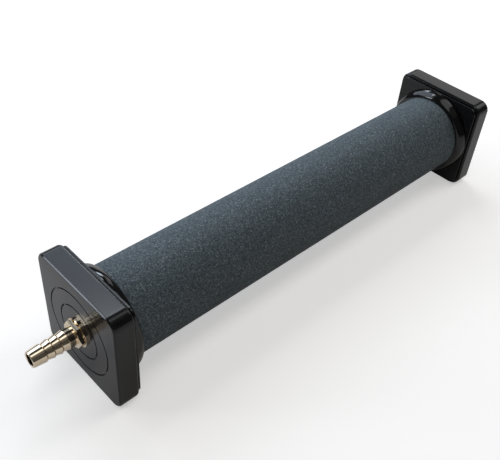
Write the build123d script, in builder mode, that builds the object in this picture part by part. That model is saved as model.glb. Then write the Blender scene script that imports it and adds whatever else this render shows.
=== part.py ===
"""Cylindrical air stone: a porous stone tube between two square end caps, with a barbed air inlet.

Millimetres, +Z up. The stone's axis runs along +X, from the barb's tip to the rear cap.
The origin is the middle of the part's footprint, in the plane that both caps stand on.
"""
import os
from math import radians, tan

from build123d import *

# Stone tube
stone_diameter = 51.0
stone_bore_diameter = 25.0
stone_length = 288.8

# End caps: a square plate with a smaller square panel behind it
plate_side = 64.0
plate_thickness = 12.0
plate_corner_radius = 6.5
plate_front_chamfer = 0.7
plate_rear_chamfer_depth = 1.1
plate_rear_chamfer_inset = 0.9
panel_inset = 1.8
panel_rise = 1.8
panel_edge_chamfer = 0.35
neck_width = 0.6
neck_depth = 0.7

# Pocket in each cap that takes the stone's end
pocket_depth = 6.2
pocket_clearance = 0.3

# Round V-shaped grooves in each cap's outer face
groove_diameters = (30.6, 48.6)
groove_width = 0.5
groove_depth = 0.4

# Sealing bead round the stone on each panel
bead_width = 4.4
bead_height = 6.0
bead_shoulder_height = 3.8
bead_shoulder_width = 2.9

# Barbed hose fitting, turned from one bar
bore_diameter = 6.4
bore_mouth_chamfer = 0.35
tip_diameter = 8.7
tip_chamfer = 0.3
first_crest_diameter = 9.8
last_crest_diameter = 10.7
root_depth = 0.7
crest_land = 0.5
first_barb_length = 7.2
barb_pitch = 4.1
barb_count = 4
neck_diameter = 10.2
neck_length = 3.7
hexagon_across_flats = 14.0
hexagon_thickness = 2.4
hexagon_chamfer_angle = 30.0
undercut_diameter = 13.0
undercut_width = 0.4
flange_diameter = 16.2
flange_thickness = 1.1
stub_diameter = 9.7
stub_clearance = 0.1

# Places along the axis, from the sizes above
axis_height = plate_side / 2
cap_depth = plate_thickness + panel_rise
cap_floor = cap_depth - pocket_depth
caps_span = stone_length + 2 * cap_floor
barbs_length = first_barb_length + (barb_count - 1) * barb_pitch
fitting_reach = barbs_length + neck_length + hexagon_thickness + undercut_width + flange_thickness
overall_length = fitting_reach + caps_span
tip_x = -overall_length / 2
neck_end_x = tip_x + barbs_length + neck_length
flange_start_x = neck_end_x + hexagon_thickness + undercut_width
front_face_x = tip_x + fitting_reach
rear_face_x = front_face_x + caps_span
stone_start_x = front_face_x + cap_floor

# Planes square to the axis: one looks along +X from the front, the other back along -X from the rear
from_front = Plane(origin=(front_face_x, 0, axis_height), x_dir=(0, 1, 0), z_dir=(1, 0, 0))
from_rear = Plane(origin=(rear_face_x, 0, axis_height), x_dir=(0, -1, 0), z_dir=(-1, 0, 0))
stone_plane = Plane(origin=(stone_start_x, 0, axis_height), x_dir=(0, 1, 0), z_dir=(1, 0, 0))


def lengthwise_plane(section):
    """The plane through the axis in which profiles are drawn: x along the axis, y outwards."""
    return Plane(origin=section.origin, x_dir=section.z_dir, z_dir=-section.x_dir)


def build_end_cap(section, hole_diameter):
    """A moulded cap whose outer face lies in the section plane and whose panel faces the stone."""
    neck_side = plate_side - 2 * (panel_inset + neck_depth)
    neck_radius = plate_corner_radius - panel_inset - neck_depth
    panel_side = plate_side - 2 * panel_inset
    panel_radius = plate_corner_radius - panel_inset
    pocket_diameter = stone_diameter + 2 * pocket_clearance
    with BuildPart() as cap:
        with BuildSketch(section):
            RectangleRounded(plate_side, plate_side, plate_corner_radius)
        extrude(amount=plate_thickness)
        across = Axis(section.origin, section.z_dir)
        chamfer(cap.faces().sort_by(across)[0].edges(), plate_front_chamfer)
        rear_face = cap.faces().sort_by(across)[-1]
        chamfer(rear_face.edges(), plate_rear_chamfer_inset, plate_rear_chamfer_depth, reference=rear_face)
        with BuildSketch(section.offset(plate_thickness)):
            RectangleRounded(neck_side, neck_side, neck_radius)
        extrude(amount=neck_width)
        with BuildSketch(section.offset(plate_thickness + neck_width)):
            RectangleRounded(panel_side, panel_side, panel_radius)
        extrude(amount=panel_rise - neck_width)
        chamfer(cap.faces().sort_by(across)[-1].edges(), panel_edge_chamfer)
        with BuildSketch(section.offset(cap_depth)):
            Circle(pocket_diameter / 2)
        extrude(amount=-pocket_depth, mode=Mode.SUBTRACT)
        with BuildSketch(lengthwise_plane(section)):
            for diameter in groove_diameters:
                rims = [(0, (diameter - groove_width) / 2), (0, (diameter + groove_width) / 2)]
                with BuildLine():
                    Polyline(*rims, (groove_depth, diameter / 2), close=True)
                make_face()
        revolve(axis=across, mode=Mode.SUBTRACT)
        if hole_diameter:
            with BuildSketch(section):
                Circle(hole_diameter / 2)
            extrude(amount=cap_floor, mode=Mode.SUBTRACT)
    return cap


def build_bead(section):
    """A bead that narrows from its foot on the panel, over a shoulder, to a thin edge on the stone."""
    inner = stone_diameter / 2
    foot = (0, inner + bead_width)
    shoulder = (bead_shoulder_height, inner + bead_shoulder_width)
    with BuildPart() as bead:
        with BuildSketch(lengthwise_plane(section.offset(cap_depth))):
            with BuildLine():
                Polyline((0, inner), foot, shoulder, (bead_height, inner), close=True)
            make_face()
        revolve(axis=Axis(section.origin, section.z_dir))
    return bead


def barb_points():
    """The outline of the barbs from the tip to the neck, as points along and out from the axis."""
    points = [(tip_x, tip_diameter / 2 - tip_chamfer), (tip_x + tip_chamfer, tip_diameter / 2)]
    growth = (last_crest_diameter - first_crest_diameter) / 2 / (barb_count - 1)
    for number in range(barb_count):
        crest_radius = first_crest_diameter / 2 + growth * number
        back_x = tip_x + first_barb_length + number * barb_pitch
        points.append((back_x - crest_land, crest_radius))
        points.append((back_x, crest_radius))
        if number < barb_count - 1:
            points.append((back_x, crest_radius - root_depth))
        else:
            points.append((back_x, neck_diameter / 2))
    return points


with BuildPart() as stone_tube:
    with BuildSketch(stone_plane):
        Circle(stone_diameter / 2)
        Circle(stone_bore_diameter / 2, mode=Mode.SUBTRACT)
    extrude(amount=stone_length)

front_end_cap = build_end_cap(from_front, stub_diameter + 2 * stub_clearance)
rear_end_cap = build_end_cap(from_rear, 0)
front_sealing_bead = build_bead(from_front)
rear_sealing_bead = build_bead(from_rear)

with BuildPart() as hose_barb_fitting:
    fitting_axis = Axis((0, 0, axis_height), (1, 0, 0))
    with BuildSketch(Plane.XZ):
        with BuildLine():
            outline = barb_points()
            outline += [(neck_end_x, neck_diameter / 2), (neck_end_x, undercut_diameter / 2)]
            outline += [(flange_start_x, undercut_diameter / 2), (flange_start_x, flange_diameter / 2)]
            outline += [(front_face_x, flange_diameter / 2), (front_face_x, stub_diameter / 2)]
            outline += [(stone_start_x, stub_diameter / 2), (stone_start_x, bore_diameter / 2)]
            outline += [(tip_x + bore_mouth_chamfer, bore_diameter / 2)]
            outline += [(tip_x, bore_diameter / 2 + bore_mouth_chamfer)]
            Polyline([(x, axis_height + radius) for x, radius in outline], close=True)
        make_face()
    revolve(axis=fitting_axis)
    with BuildSketch(from_front.offset(neck_end_x - front_face_x)):
        RegularPolygon(hexagon_across_flats / 2, 6, major_radius=False)
        Circle(undercut_diameter / 2, mode=Mode.SUBTRACT)
    extrude(amount=hexagon_thickness)
    # The cutter starts level with the flats, and is wide enough to pass the corners
    flats_top = axis_height + hexagon_across_flats / 2
    cutter_width = hexagon_across_flats / 4
    cutter_slope = tan(radians(hexagon_chamfer_angle))
    with BuildSketch(Plane.XZ):
        with BuildLine():
            cutter_front = [(neck_end_x, flats_top), (neck_end_x, flats_top + cutter_width)]
            cutter_back = (neck_end_x + cutter_width * cutter_slope, flats_top + cutter_width)
            Polyline(*cutter_front, cutter_back, close=True)
        make_face()
    revolve(axis=fitting_axis, mode=Mode.SUBTRACT)

pieces = {
    "stone_tube": stone_tube,
    "front_end_cap": front_end_cap,
    "rear_end_cap": rear_end_cap,
    "front_sealing_bead": front_sealing_bead,
    "rear_sealing_bead": rear_sealing_bead,
    "hose_barb_fitting": hose_barb_fitting,
}
os.makedirs("parts", exist_ok=True)
for piece_name, piece in pieces.items():
    piece.part.label = piece_name
    export_step(piece.part, f"parts/{piece_name}.step")
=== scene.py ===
"""Looks of the cylindrical air stone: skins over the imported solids, finishes, light and camera.

Metres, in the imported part's own frame: +X along the stone from the barb's tip, +Z up from the floor.
"""

import math

import bmesh
import bpy
import numpy as np
from mathutils import Matrix, Vector, noise


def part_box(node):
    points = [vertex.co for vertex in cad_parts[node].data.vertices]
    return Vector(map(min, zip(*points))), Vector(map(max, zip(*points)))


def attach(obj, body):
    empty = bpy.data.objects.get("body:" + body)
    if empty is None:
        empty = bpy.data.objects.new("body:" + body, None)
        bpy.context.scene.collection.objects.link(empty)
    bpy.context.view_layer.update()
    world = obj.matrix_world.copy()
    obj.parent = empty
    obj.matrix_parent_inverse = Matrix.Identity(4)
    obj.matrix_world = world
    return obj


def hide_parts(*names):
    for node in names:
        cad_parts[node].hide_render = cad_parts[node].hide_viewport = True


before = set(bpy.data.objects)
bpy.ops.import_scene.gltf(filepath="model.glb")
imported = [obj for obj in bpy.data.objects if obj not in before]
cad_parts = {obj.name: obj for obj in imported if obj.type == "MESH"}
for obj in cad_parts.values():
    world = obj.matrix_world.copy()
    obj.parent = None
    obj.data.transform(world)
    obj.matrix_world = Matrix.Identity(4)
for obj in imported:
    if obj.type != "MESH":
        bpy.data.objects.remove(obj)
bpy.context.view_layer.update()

MM = 0.001
BODY = "root"

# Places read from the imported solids
front_cap_low, front_cap_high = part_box("front_end_cap")
rear_cap_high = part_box("rear_end_cap")[1]
bead_low, bead_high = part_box("front_sealing_bead")
stone_low, stone_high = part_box("stone_tube")
fitting_low, fitting_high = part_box("hose_barb_fitting")
axis_height = (front_cap_low.z + front_cap_high.z) / 2
front_face_x = front_cap_low.x
rear_face_x = rear_cap_high.x
cap_depth = front_cap_high.x - front_cap_low.x
plate_half = (front_cap_high.y - front_cap_low.y) / 2
stone_radius = (stone_high.y - stone_low.y) / 2
bead_width = (bead_high.y - bead_low.y) / 2 - stone_radius
bead_height = bead_high.x - bead_low.x
tip_x = fitting_low.x

# End cap: sizes that the box doesn't give
PLATE_THICKNESS = 12.0 * MM
PLATE_CORNER = 6.5 * MM
FRONT_CHAMFER = 0.8 * MM
REAR_CHAMFER_DEPTH = 1.1 * MM
REAR_CHAMFER_INSET = 0.9 * MM
NECK_INSET = 2.5 * MM
NECK_WIDTH = 0.6 * MM
PANEL_INSET = 1.8 * MM
PANEL_ROUNDING = 0.35 * MM
CRISP_EDGE = 0.12 * MM
WORN_EDGE = 0.45 * MM
POCKET_RADIUS = 25.8 * MM
POCKET_DEPTH = 6.2 * MM
FITTING_HOLE_RADIUS = 4.95 * MM
NO_HOLE = 0
GROOVE_RADII = (15.3 * MM, 24.3 * MM)
GROOVE_WIDTH = 0.85 * MM
GROOVE_DEPTH = 0.8 * MM
GROOVE_TAPER = 0.05 * MM
SIDE_STEPS = 40
CORNER_STEPS = 16
ROUNDING_STEPS = 5
SOFT_SHARE = 0.3


def arc(start, end, steps):
    """Angles from start to end in degrees, both ends included, as radians."""
    return [math.radians(start + (end - start) * step / steps) for step in range(steps + 1)]


def rounded_square(half_side, corner_radius):
    """Points round a square with rounded corners, as (y, z) from its middle."""
    reach = half_side - corner_radius
    points = []
    for quarter in range(4):
        turn = math.pi / 2 * quarter
        side = [(half_side, reach * (2 * step / SIDE_STEPS - 1)) for step in range(SIDE_STEPS)]
        corner = [(reach + corner_radius * math.cos(angle), reach + corner_radius * math.sin(angle))
                  for angle in arc(0, 90, CORNER_STEPS)[:-1]]
        for y, z in side + corner:
            points.append((y * math.cos(turn) - z * math.sin(turn), y * math.sin(turn) + z * math.cos(turn)))
    return points


plate_outline = rounded_square(plate_half, PLATE_CORNER)
plate_directions = [Vector(point).normalized() for point in plate_outline]


def inset_outline(inset):
    """The plate's outline moved inwards, with its corners about the same centres."""
    return rounded_square(plate_half - inset, PLATE_CORNER - inset)


def cap_circle(radius):
    """A circle with one point in the direction of each point of the plate's outline."""
    return [(direction.x * radius, direction.y * radius) for direction in plate_directions]


def soften(points, softness):
    """Cuts each corner of a closed outline into two points, at most SOFT_SHARE of its sides away."""
    soft = []
    for index, point in enumerate(points):
        here = Vector(point)
        before = Vector(points[index - 1])
        after = Vector(points[(index + 1) % len(points)])
        reach_before = min(softness, (before - here).length * SOFT_SHARE)
        reach_after = min(softness, (after - here).length * SOFT_SHARE)
        soft.append(here + (before - here).normalized() * reach_before)
        soft.append(here + (after - here).normalized() * reach_after)
    return soft


def make_skin(name, rings, closed=True, sharp_angle=35):
    """A smooth mesh through rings of points; the last ring joins the first, or a fan closes each end."""
    count = len(rings[0])
    vertices = [point for ring in rings for point in ring]
    pairs = [(index, index + 1) for index in range(len(rings) - 1)]
    if closed:
        pairs.append((len(rings) - 1, 0))
    faces = []
    for one, two in pairs:
        for step in range(count):
            after = (step + 1) % count
            faces.append((one * count + step, one * count + after, two * count + after, two * count + step))
    if not closed:
        for ring in (0, len(rings) - 1):
            middle = sum((Vector(point) for point in rings[ring]), Vector()) / count
            vertices.append(middle)
            for step in range(count):
                faces.append((ring * count + step, ring * count + (step + 1) % count, len(vertices) - 1))
    mesh = bpy.data.meshes.new(name)
    mesh.from_pydata(vertices, [], faces)
    turn_outwards(mesh)
    mesh.polygons.foreach_set("use_smooth", [True] * len(mesh.polygons))
    mesh.set_sharp_from_angle(angle=math.radians(sharp_angle))
    piece = bpy.data.objects.new(name, mesh)
    bpy.context.scene.collection.objects.link(piece)
    weighted = piece.modifiers.new("even_flats", "WEIGHTED_NORMAL")
    weighted.keep_sharp = True
    return piece


def turn_outwards(mesh):
    """Makes every face of a closed mesh look outwards."""
    work = bmesh.new()
    work.from_mesh(mesh)
    bmesh.ops.recalc_face_normals(work, faces=work.faces)
    work.to_mesh(mesh)
    work.free()


def build_cap(name, node, face_x, inwards, hole_radius, rear_softness):
    """A cap whose outer face is at face_x; inwards is +1 or -1, the way from that face to the stone."""
    def ring(outline, depth):
        return [(face_x + inwards * depth, y, axis_height + z) for y, z in outline]

    panel_start = PLATE_THICKNESS + NECK_WIDTH
    rings = []
    if hole_radius:
        rings.append(ring(cap_circle(hole_radius), 0))
    for radius in GROOVE_RADII:
        half = GROOVE_WIDTH / 2
        rings.append(ring(cap_circle(radius - half), 0))
        rings.append(ring(cap_circle(radius - half + GROOVE_TAPER), GROOVE_DEPTH))
        rings.append(ring(cap_circle(radius + half - GROOVE_TAPER), GROOVE_DEPTH))
        rings.append(ring(cap_circle(radius + half), 0))
    # The end points of both outlines only steer the corners between them, and are left out
    chamfer_start = PLATE_THICKNESS - REAR_CHAMFER_DEPTH
    front_edge = [(2 * FRONT_CHAMFER, 0), (FRONT_CHAMFER, 0), (0, FRONT_CHAMFER), (0, chamfer_start)]
    rear_edge = [front_edge[2], (0, chamfer_start), (REAR_CHAMFER_INSET, PLATE_THICKNESS)]
    rear_edge.append((NECK_INSET, PLATE_THICKNESS))
    for inset, depth in soften(front_edge, CRISP_EDGE)[2:-2] + soften(rear_edge, rear_softness)[2:-2]:
        rings.append(ring(inset_outline(inset), depth))
    rings.append(ring(inset_outline(NECK_INSET), PLATE_THICKNESS))
    rings.append(ring(inset_outline(NECK_INSET), panel_start))
    rings.append(ring(inset_outline(PANEL_INSET), panel_start))
    for angle in arc(0, 90, ROUNDING_STEPS):
        inset = PANEL_INSET + PANEL_ROUNDING * (1 - math.cos(angle))
        rings.append(ring(inset_outline(inset), cap_depth - PANEL_ROUNDING * (1 - math.sin(angle))))
    rings.append(ring(cap_circle(POCKET_RADIUS), cap_depth))
    rings.append(ring(cap_circle(POCKET_RADIUS), cap_depth - POCKET_DEPTH))
    if hole_radius:
        rings.append(ring(cap_circle(hole_radius), cap_depth - POCKET_DEPTH))
    return dress(make_skin(name, rings, closed=bool(hole_radius)), node, cap_plastic)


def dress(piece, node, material):
    """The piece stands for its solid, takes its slot's finish and rides on the body."""
    piece.data.materials.append(material)
    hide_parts(node)
    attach(piece, BODY)
    return piece


def circle_ring(x, radius, steps):
    """Points round the part's axis at x; radius is one number, or one for each step."""
    radii = radius if isinstance(radius, list) else [radius] * steps
    angles = [2 * math.pi * step / steps for step in range(steps)]
    return [(x, r * math.cos(angle), axis_height + r * math.sin(angle)) for r, angle in zip(radii, angles)]


# Sealing beads
BEAD_FULLNESS = 0.92
BEAD_PROFILE_STEPS = 28
BEAD_ROUND_STEPS = 288
BEAD_WAVE = 0.55 * MM
BEAD_WAVES_ROUND = 1.9
BEAD_WAVES_ACROSS = 0.9
FRONT_BEAD_SEED = 3.7
REAR_BEAD_SEED = 8.1


def build_bead(name, node, panel_x, outwards, seed):
    """A hand-laid ring of adhesive: a round back that rises and falls slowly round the stone."""
    angles = [2 * math.pi * step / BEAD_ROUND_STEPS for step in range(BEAD_ROUND_STEPS)]
    rings = [circle_ring(panel_x, stone_radius, BEAD_ROUND_STEPS)]
    for step in range(BEAD_PROFILE_STEPS + 1):
        along = step / BEAD_PROFILE_STEPS
        turn = math.pi / 2 * along
        width = bead_width * max(0.0, math.cos(turn)) ** BEAD_FULLNESS
        height = bead_height * math.sin(turn) ** BEAD_FULLNESS
        free = math.sin(math.pi * along)
        ring = []
        for angle in angles:
            spot = Vector((math.cos(angle), math.sin(angle), 0)) * BEAD_WAVES_ROUND
            spot.z = seed + along * BEAD_WAVES_ACROSS
            lift = BEAD_WAVE * free * (noise.noise(spot) - 0.5)
            radius = stone_radius + width + lift * math.cos(turn)
            x = panel_x + outwards * (height + lift * math.sin(turn))
            ring.append((x, radius * math.cos(angle), axis_height + radius * math.sin(angle)))
        rings.append(ring)
    return dress(make_skin(name, rings), node, bead_adhesive)


# Hose fitting, from the tip back
BORE_RADIUS = 3.2 * MM
BORE_MOUTH = 0.35 * MM
TIP_RADIUS = 4.35 * MM
TIP_CHAMFER = 0.3 * MM
FIRST_CREST_RADIUS = 4.9 * MM
LAST_CREST_RADIUS = 5.35 * MM
ROOT_DEPTH = 0.7 * MM
SLOT_WIDTH = 0.4 * MM
SLOT_DEPTH = 0.35 * MM
CREST_ROUNDING = 0.35 * MM
CREST_TURN = 75
CREST_STEPS = 6
FIRST_BARB = 7.2 * MM
BARB_PITCH = 4.1 * MM
BARB_COUNT = 4
NECK_RADIUS = 5.1 * MM
NECK_LENGTH = 3.7 * MM
FLAT_RADIUS = 7.0 * MM
HEXAGON_THICKNESS = 2.4 * MM
HEXAGON_CHAMFER = math.tan(math.radians(30))
UNDERCUT_RADIUS = 6.5 * MM
UNDERCUT_WIDTH = 0.4 * MM
FLANGE_RADIUS = 8.1 * MM
STUB_RADIUS = 4.85 * MM
METAL_SOFTNESS = 0.07 * MM
FITTING_STEPS = 192
FITTING_SHARP_ANGLE = 24


def build_fitting():
    """The fitting in one skin: barbs, neck, chamfered hexagon, undercut, flange, stub and bore."""
    neck_start = tip_x + FIRST_BARB + (BARB_COUNT - 1) * BARB_PITCH
    hexagon_start = neck_start + NECK_LENGTH
    hexagon_end = hexagon_start + HEXAGON_THICKNESS
    flange_start = hexagon_end + UNDERCUT_WIDTH
    front = [(tip_x + BORE_MOUTH, BORE_RADIUS), (tip_x, BORE_RADIUS + BORE_MOUTH)]
    front += [(tip_x, TIP_RADIUS - TIP_CHAMFER), (tip_x + TIP_CHAMFER, TIP_RADIUS)]
    for number in range(BARB_COUNT):
        crest = FIRST_CREST_RADIUS + (LAST_CREST_RADIUS - FIRST_CREST_RADIUS) * number / (BARB_COUNT - 1)
        back = tip_x + FIRST_BARB + number * BARB_PITCH
        root = crest - ROOT_DEPTH
        for angle in arc(0, CREST_TURN, CREST_STEPS):
            x = back - CREST_ROUNDING * (1 - math.sin(angle))
            front.append((x, crest - CREST_ROUNDING * (1 - math.cos(angle))))
        if number < BARB_COUNT - 1:
            front += [(back, root - SLOT_DEPTH), (back + SLOT_WIDTH, root - SLOT_DEPTH)]
            front.append((back + SLOT_WIDTH, root + SLOT_WIDTH * ROOT_DEPTH / BARB_PITCH))
        else:
            front.append((back, NECK_RADIUS))
    front.append((hexagon_start, NECK_RADIUS))
    rear = [(hexagon_end, UNDERCUT_RADIUS), (flange_start, UNDERCUT_RADIUS), (flange_start, FLANGE_RADIUS)]
    rear += [(front_face_x, FLANGE_RADIUS), (front_face_x, STUB_RADIUS)]
    rear += [(fitting_high.x, STUB_RADIUS), (fitting_high.x, BORE_RADIUS)]
    angles = [2 * math.pi * step / FITTING_STEPS for step in range(FITTING_STEPS)]
    sixth = math.pi / 3
    corners = [FLAT_RADIUS / math.cos((angle + sixth) % sixth - sixth / 2) for angle in angles]
    bevel = METAL_SOFTNESS
    # The slices leave out what soften adds on the line from an outline's last point to its first
    rings = [circle_ring(x, radius, FITTING_STEPS) for x, radius in soften(front, bevel)[1:-1]]
    rings.append(circle_ring(hexagon_start, FLAT_RADIUS - bevel, FITTING_STEPS))
    chamfer = []
    for angle, corner in zip(angles, corners):
        x = hexagon_start + (corner - FLAT_RADIUS + bevel) * HEXAGON_CHAMFER
        chamfer.append((x, corner * math.cos(angle), axis_height + corner * math.sin(angle)))
    rings.append(chamfer)
    rings.append(circle_ring(hexagon_end - bevel, corners, FITTING_STEPS))
    rings.append(circle_ring(hexagon_end, [corner - bevel for corner in corners], FITTING_STEPS))
    rings += [circle_ring(x, radius, FITTING_STEPS) for x, radius in soften(rear, bevel)[1:-1]]
    piece = make_skin("fitting_skin", rings, sharp_angle=FITTING_SHARP_ANGLE)
    return dress(piece, "hose_barb_fitting", plated_metal)


# Stone
STONE_BORE_RADIUS = 12.5 * MM
STONE_ROUND_STEPS = 228
STONE_LONG_STEPS = 408
GRAIN_HEIGHT = 0.05 * MM
GRAIN_SEED = 11
STONE_SHARP_ANGLE = 60


def build_stone():
    """The stone with its coarse grain in the mesh; the hollow runs through it."""
    random = np.random.default_rng(GRAIN_SEED)
    rings = []
    for step in range(STONE_LONG_STEPS + 1):
        x = stone_low.x + (stone_high.x - stone_low.x) * step / STONE_LONG_STEPS
        radii = stone_radius - GRAIN_HEIGHT * np.abs(random.normal(0, 1, STONE_ROUND_STEPS))
        rings.append(circle_ring(x, radii.tolist(), STONE_ROUND_STEPS))
    rings.append(circle_ring(stone_high.x, STONE_BORE_RADIUS, STONE_ROUND_STEPS))
    rings.append(circle_ring(stone_low.x, STONE_BORE_RADIUS, STONE_ROUND_STEPS))
    piece = make_skin("stone_skin", rings, sharp_angle=STONE_SHARP_ANGLE)
    return dress(piece, "stone_tube", stone_finish)


# Sockets of the Mix node that carry colours
MIX_FIRST = 6
MIX_SECOND = 7
MIX_RESULT = 2


class Finish:
    """A material with its shader, and short ways to add nodes to it."""

    def __init__(self, name):
        self.material = bpy.data.materials.new(name)
        self.material.use_nodes = True
        self.tree = self.material.node_tree
        self.shader = self.tree.nodes["Principled BSDF"]
        self.place = self.add("ShaderNodeTexCoord").outputs["Object"]

    def add(self, kind, **settings):
        """A new node; each setting is one of its properties, or else the value of one of its inputs."""
        node = self.tree.nodes.new(kind)
        for key, value in settings.items():
            if key in node.bl_rna.properties:
                setattr(node, key, value)
            else:
                node.inputs[key.replace("_", " ")].default_value = value
        return node

    def link(self, start, end):
        self.tree.links.new(start, end)

    def noise(self, size, detail):
        """Noise whose features are about size across."""
        node = self.add("ShaderNodeTexNoise", Scale=1 / size, Detail=detail)
        self.link(self.place, node.inputs["Vector"])
        return node.outputs["Fac"]

    def ramp(self, source, stops):
        """Colours along a ramp; stops are (place, colour)."""
        node = self.add("ShaderNodeValToRGB")
        elements = node.color_ramp.elements
        while len(elements) < len(stops):
            elements.new(0.5)
        for element, (position, colour) in zip(elements, stops):
            element.position = position
            element.color = (*colour, 1)
        self.link(source, node.inputs["Fac"])
        return node.outputs["Color"]

    def spread(self, source, low, high, source_low, source_high):
        """The source's range from source_low to source_high, stretched to low and high."""
        node = self.add("ShaderNodeMapRange")
        values = {"From Min": source_low, "From Max": source_high, "To Min": low, "To Max": high}
        for key, value in values.items():
            node.inputs[key].default_value = value
        self.link(source, node.inputs["Value"])
        return node.outputs["Result"]

    def bump(self, height, distance, strength=1.0):
        """Surface relief of that depth, from the height's range of 0 to 1."""
        node = self.add("ShaderNodeBump", Distance=distance, Strength=strength)
        self.link(height, node.inputs["Height"])
        return node.outputs["Normal"]


STONE_GRAIN = 0.5 * MM
STONE_PATCH = 1.0 * MM
STONE_RELIEF = 0.2 * MM


def make_stone_finish():
    """Fine sintered grains in close blue-greys, matte, with a few light ones among them."""
    finish = Finish("porous_stone_finish")
    cells = finish.add("ShaderNodeTexVoronoi", Scale=1 / STONE_GRAIN)
    finish.link(finish.place, cells.inputs["Vector"])
    split = finish.add("ShaderNodeSeparateColor")
    finish.link(cells.outputs["Color"], split.inputs["Color"])
    greys = [(0.0, (0.062, 0.078, 0.087)), (0.5, (0.105, 0.131, 0.145))]
    greys += [(0.9, (0.145, 0.178, 0.196)), (1.0, (0.27, 0.31, 0.33))]
    grains = finish.ramp(split.outputs["Red"], greys)
    shades = [(0.3, (0.64, 0.64, 0.65)), (0.7, (1.33, 1.33, 1.32))]
    patches = finish.ramp(finish.noise(STONE_PATCH, 3), shades)
    mixed = finish.add("ShaderNodeMix", data_type="RGBA", blend_type="MULTIPLY")
    mixed.inputs["Factor"].default_value = 1.0
    finish.link(grains, mixed.inputs[MIX_FIRST])
    finish.link(patches, mixed.inputs[MIX_SECOND])
    finish.link(mixed.outputs[MIX_RESULT], finish.shader.inputs["Base Color"])
    relief = finish.bump(cells.outputs["Distance"], STONE_RELIEF, strength=0.6)
    finish.link(relief, finish.shader.inputs["Normal"])
    finish.shader.inputs["Roughness"].default_value = 0.8
    finish.shader.inputs["Specular IOR Level"].default_value = 0.3
    return finish.material


PLASTIC_MOTTLE = 0.9 * MM
PLASTIC_HAZE = 12 * MM
PLASTIC_RIPPLE = 1.1 * MM
PLASTIC_RELIEF = 0.0006 * MM


def make_cap_plastic():
    """Moulded black plastic with a satin gloss."""
    finish = Finish("cap_plastic_finish")
    tones = [(0.35, (0.004, 0.004, 0.0045)), (0.65, (0.012, 0.012, 0.0127))]
    tone = finish.ramp(finish.noise(PLASTIC_MOTTLE, 3), tones)
    finish.link(tone, finish.shader.inputs["Base Color"])
    finish.shader.inputs["Specular IOR Level"].default_value = 0.38
    haze = finish.spread(finish.noise(PLASTIC_HAZE, 2), 0.18, 0.21, 0.3, 0.7)
    finish.link(haze, finish.shader.inputs["Roughness"])
    relief = finish.bump(finish.noise(PLASTIC_RIPPLE, 2), PLASTIC_RELIEF)
    finish.link(relief, finish.shader.inputs["Normal"])
    return finish.material


ADHESIVE_HAZE = 4 * MM
ADHESIVE_RIPPLE = 5 * MM
ADHESIVE_RELIEF = 0.06 * MM


def make_bead_adhesive():
    """Cured black adhesive, wet-looking."""
    finish = Finish("bead_adhesive_finish")
    finish.shader.inputs["Base Color"].default_value = (0.006, 0.006, 0.006, 1)
    gloss = finish.spread(finish.noise(ADHESIVE_HAZE, 2), 0.08, 0.12, 0.3, 0.7)
    finish.link(gloss, finish.shader.inputs["Roughness"])
    relief = finish.bump(finish.noise(ADHESIVE_RIPPLE, 1), ADHESIVE_RELIEF)
    finish.link(relief, finish.shader.inputs["Normal"])
    return finish.material


METAL_TINT = 5 * MM
METAL_HAZE = 2 * MM
TURNING_MARK = 0.12 * MM
TURNING_RELIEF = 0.0007 * MM


def make_plated_metal():
    """Brass with a bright, warm nickel plating and fine turning marks."""
    finish = Finish("plated_metal_finish")
    finish.shader.inputs["Metallic"].default_value = 1.0
    tints = [(0.35, (0.93, 0.78, 0.58)), (0.65, (0.97, 0.82, 0.62))]
    tone = finish.ramp(finish.noise(METAL_TINT, 2), tints)
    finish.link(tone, finish.shader.inputs["Base Color"])
    polish = finish.spread(finish.noise(METAL_HAZE, 3), 0.06, 0.09, 0.3, 0.7)
    finish.link(polish, finish.shader.inputs["Roughness"])
    along = finish.add("ShaderNodeMapping")
    along.inputs["Scale"].default_value = (1 / TURNING_MARK, 0, 0)
    finish.link(finish.place, along.inputs["Vector"])
    marks = finish.add("ShaderNodeTexNoise", Scale=1.0, Detail=2.0)
    finish.link(along.outputs["Vector"], marks.inputs["Vector"])
    finish.link(finish.bump(marks.outputs["Fac"], TURNING_RELIEF), finish.shader.inputs["Normal"])
    return finish.material


stone_finish = make_stone_finish()
cap_plastic = make_cap_plastic()
bead_adhesive = make_bead_adhesive()
plated_metal = make_plated_metal()

build_stone()
build_cap("front_cap_skin", "front_end_cap", front_face_x, 1, FITTING_HOLE_RADIUS, WORN_EDGE)
build_cap("rear_cap_skin", "rear_end_cap", rear_face_x, -1, NO_HOLE, CRISP_EDGE)
build_bead("front_bead_skin", "front_sealing_bead", front_face_x + cap_depth, 1, FRONT_BEAD_SEED)
build_bead("rear_bead_skin", "rear_sealing_bead", rear_face_x - cap_depth, -1, REAR_BEAD_SEED)
build_fitting()

# Floor, room and light
FLOOR_SIZE = 3.4
FLOOR_COLOUR = (0.84, 0.79, 0.75, 1)
FLOOR_PALENESS = (0.48, 0.48, 0.48, 1)
FLOOR_FADE_START = 0.35
FLOOR_FADE_END = 1.6
FLOOR_FADE_GAIN = 2.1
FLOOR_GLOSS_SHARE = 0.12
ROOM_COLOUR = (0.043, 0.042, 0.041, 1)
BACKDROP_COLOUR = (1, 1, 1, 1)
ROOM_GLOSS_SHARE = 0.016
COOL_WHITE = (0.80, 0.89, 1.0)


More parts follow.
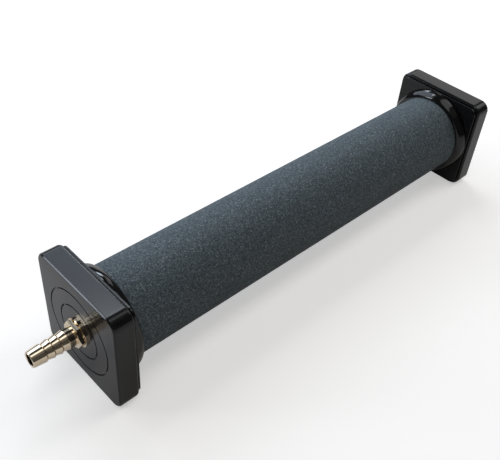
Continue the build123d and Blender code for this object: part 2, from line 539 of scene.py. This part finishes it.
def paleness_seen(tree, gloss_share):
    """How much of the added paleness a ray meets: all from the camera or through glass, less in a gloss."""
    rays = tree.nodes.new("ShaderNodeLightPath")
    direct = tree.nodes.new("ShaderNodeMath")
    direct.operation = "ADD"
    tree.links.new(rays.outputs["Is Camera Ray"], direct.inputs[0])
    tree.links.new(rays.outputs["Is Transmission Ray"], direct.inputs[1])
    total = tree.nodes.new("ShaderNodeMath")
    total.operation = "MULTIPLY_ADD"
    total.inputs[1].default_value = gloss_share
    tree.links.new(rays.outputs["Is Glossy Ray"], total.inputs[0])
    tree.links.new(direct.outputs["Value"], total.inputs[2])
    return total.outputs["Value"]


def make_floor():
    """A pale floor that the caps stand on; the camera sees it paler, and white further out."""
    mesh = bpy.data.meshes.new("floor")
    half = FLOOR_SIZE / 2
    corners = [(-half, -half, 0), (half, -half, 0), (half, half, 0), (-half, half, 0)]
    mesh.from_pydata(corners, [], [(0, 1, 2, 3)])
    floor = bpy.data.objects.new("floor", mesh)
    bpy.context.scene.collection.objects.link(floor)
    finish = Finish("floor_finish")
    finish.shader.inputs["Base Color"].default_value = FLOOR_COLOUR
    finish.shader.inputs["Roughness"].default_value = 0.9
    finish.shader.inputs["Specular IOR Level"].default_value = 0.1
    finish.shader.inputs["Emission Color"].default_value = FLOOR_PALENESS
    distance = finish.add("ShaderNodeVectorMath", operation="LENGTH")
    finish.link(finish.place, distance.inputs[0])
    fade = finish.spread(distance.outputs["Value"], 1.0, FLOOR_FADE_GAIN, FLOOR_FADE_START, FLOOR_FADE_END)
    strength = finish.add("ShaderNodeMath", operation="MULTIPLY")
    finish.link(paleness_seen(finish.tree, FLOOR_GLOSS_SHARE), strength.inputs[0])
    finish.link(fade, strength.inputs[1])
    finish.link(strength.outputs["Value"], finish.shader.inputs["Emission Strength"])
    mesh.materials.append(finish.material)


def add_softbox(name, elevation, distance, width, length, shift, brightness, colour):
    """A lamp whose length lies along X and that looks at the axis, shifted along X from the middle.

    Its elevation, in degrees, runs from +Y over the top; brightness is the radiance of its face.
    """
    lamp = bpy.data.lights.new(name, "AREA")
    lamp.shape = "RECTANGLE"
    lamp.size = length
    lamp.size_y = width
    lamp.energy = brightness * math.pi * width * length
    lamp.color = colour
    holder = bpy.data.objects.new(name, lamp)
    bpy.context.scene.collection.objects.link(holder)
    turn = Matrix.Rotation(math.radians(elevation - 90), 4, "X")
    middle = Vector((shift, 0, axis_height))
    holder.matrix_world = Matrix.Translation(middle) @ turn @ Matrix.Translation((0, 0, distance))


def make_light():
    """Cool lamps behind the part for the stone and the caps' edges, and paler ones overhead and beyond."""
    add_softbox("back_softbox", 37, 1.2, 0.86, 0.95, 0.125, 2.05, (0.74, 0.85, 1.0))
    add_softbox("right_window", 34, 1.2, 0.3, 0.36, 0.85, 9.0, COOL_WHITE)
    add_softbox("end_softbox", 45, 1.2, 0.9, 1.0, 1.65, 0.98, (1.0, 0.99, 0.99))
    add_softbox("core", 58, 1.0, 0.11, 0.45, 0.27, 5.0, (0.94, 0.97, 1.0))
    add_softbox("window", 40, 1.0, 0.56, 0.65, -0.55, 2.0, COOL_WHITE)
    add_softbox("side_lamp", 28, 1.0, 0.32, 0.45, -1.2, 10.5, COOL_WHITE)
    add_softbox("top_strip", 97.5, 1.0, 0.37, 2.4, 0.3, 1.1, (0.98, 1.0, 0.98))
    add_softbox("dim_panel", 121, 1.0, 0.36, 2.4, 0.3, 0.08, (1.0, 0.95, 0.88))
    add_softbox("fill_panel", 112, 1.0, 0.6, 1.1, 1.1, 1.3, (0.95, 0.98, 1.0))


def make_room():
    """A dim room round the part; the camera sees a white backdrop in its place."""
    world = bpy.data.worlds.new("room")
    bpy.context.scene.world = world
    world.use_nodes = True
    nodes = world.node_tree.nodes
    links = world.node_tree.links
    room = nodes["Background"]
    room.inputs["Color"].default_value = ROOM_COLOUR
    backdrop = nodes.new("ShaderNodeBackground")
    backdrop.inputs["Color"].default_value = BACKDROP_COLOUR
    choice = nodes.new("ShaderNodeMixShader")
    links.new(paleness_seen(world.node_tree, ROOM_GLOSS_SHARE), choice.inputs["Fac"])
    links.new(room.outputs["Background"], choice.inputs[1])
    links.new(backdrop.outputs["Background"], choice.inputs[2])
    links.new(choice.outputs["Shader"], nodes["World Output"].inputs["Surface"])


# Camera, as fitted to the photograph; lengths from the outer face of the front cap
CAMERA_PLACE = (-108.97 * MM, -211.84 * MM, 304.92 * MM)
CAMERA_AZIMUTH = 43.40
CAMERA_TILT = -41.26
CAMERA_ROLL = 5.04
CAMERA_LENS = 51.34


def make_camera():
    """The camera looks along its azimuth and tilt, and is turned about its own axis by the roll."""
    camera = bpy.data.cameras.new("camera")
    camera.lens = CAMERA_LENS
    camera.sensor_width = 36
    camera.clip_start = 0.01
    camera.clip_end = 20
    holder = bpy.data.objects.new("camera", camera)
    bpy.context.scene.collection.objects.link(holder)
    place = Vector(CAMERA_PLACE) + Vector((front_face_x, 0, 0))
    turn = Matrix.Rotation(math.radians(CAMERA_AZIMUTH - 90), 4, "Z")
    tilt = Matrix.Rotation(math.radians(CAMERA_TILT + 90), 4, "X")
    roll = Matrix.Rotation(math.radians(CAMERA_ROLL), 4, "Z")
    holder.matrix_world = Matrix.Translation(place) @ turn @ tilt @ roll
    bpy.context.scene.camera = holder


make_floor()
make_light()
make_room()
make_camera()
bpy.context.scene.view_settings.view_transform = "Standard"

bpy.context.view_layer.update()
